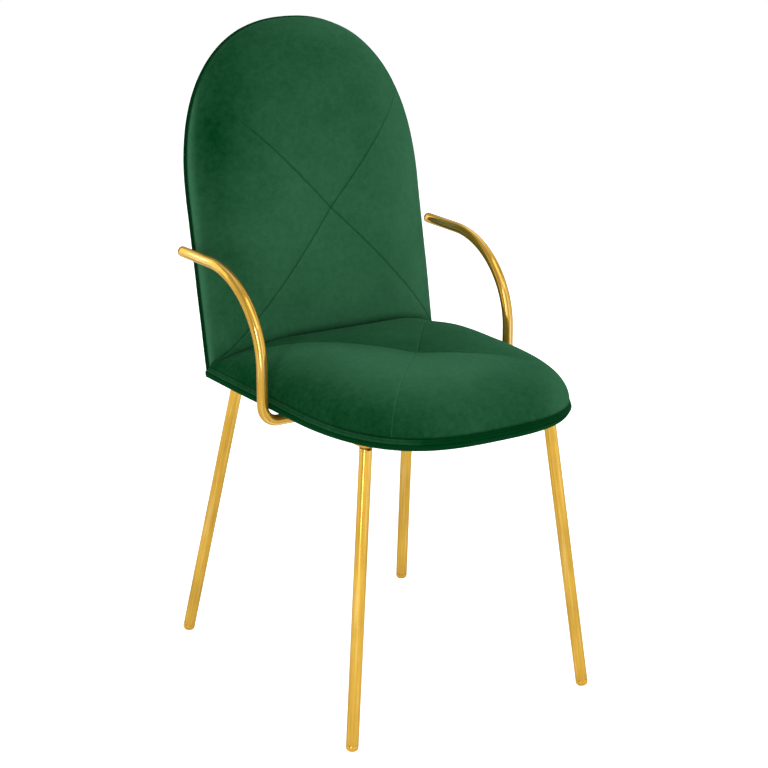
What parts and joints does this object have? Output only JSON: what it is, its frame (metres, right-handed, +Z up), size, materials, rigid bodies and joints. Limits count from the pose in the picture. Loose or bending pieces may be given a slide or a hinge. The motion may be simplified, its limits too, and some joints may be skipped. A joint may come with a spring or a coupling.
{
  "type": "dining chair",
  "caption": "Dining armchair with an arched padded seat and back in quilted green velvet, double welt edges, splayed brass tube legs and brass tube arms that sweep back to open ends.",
  "frame": {"origin": "on the floor, under the middle of the whole chair's box", "axes": "+Z up, the chair faces -Y, X = 0 is the mirror plane; left is -X"},
  "size_m": [0.4504, 0.5958, 0.9493],
  "materials": {
    "velvet": "matt",
    "brass": "polished",
    "plywood": "unfinished",
    "steel": "satin",
    "black_felt": "matt",
    "zinc": "satin"
  },
  "bodies": {
    "root": {"seat_board": "plywood", "seat_cushion": "velvet", "seat_welt": "velvet", "seat_border": "velvet", "seat_dust_cover": "black_felt", "back_board": "plywood", "back_cushion": "velvet", "back_welt": "velvet", "back_rear_cover": "velvet", "back_angle_left": "steel", "back_angle_right": "steel", "leg_front_left": "brass", "foot_glide_front_left": "brass", "leg_plate_front_left": "steel", "leg_screw_front_left_1": "zinc", "leg_screw_front_left_2": "zinc", "leg_screw_front_left_3": "zinc", "leg_front_right": "brass", "foot_glide_front_right": "brass", "leg_plate_front_right": "steel", "leg_screw_front_right_1": "zinc", "leg_screw_front_right_2": "zinc", "leg_screw_front_right_3": "zinc", "leg_rear_left": "brass", "foot_glide_rear_left": "brass", "leg_plate_rear_left": "steel", "leg_screw_rear_left_1": "zinc", "leg_screw_rear_left_2": "zinc", "leg_screw_rear_left_3": "zinc", "leg_rear_right": "brass", "foot_glide_rear_right": "brass", "leg_plate_rear_right": "steel", "leg_screw_rear_right_1": "zinc", "leg_screw_rear_right_2": "zinc", "leg_screw_rear_right_3": "zinc", "arm_left": "brass", "arm_cap_left": "brass", "arm_plate_left": "steel", "arm_screw_left_1": "zinc", "angle_screw_seat_left_1": "zinc", "angle_screw_back_left_1": "zinc", "arm_screw_left_2": "zinc", "angle_screw_seat_left_2": "zinc", "angle_screw_back_left_2": "zinc", "arm_right": "brass", "arm_cap_right": "brass", "arm_plate_right": "steel", "arm_screw_right_1": "zinc", "angle_screw_seat_right_1": "zinc", "angle_screw_back_right_1": "zinc", "arm_screw_right_2": "zinc", "angle_screw_seat_right_2": "zinc", "angle_screw_back_right_2": "zinc"}
  },
  "joints": []
}
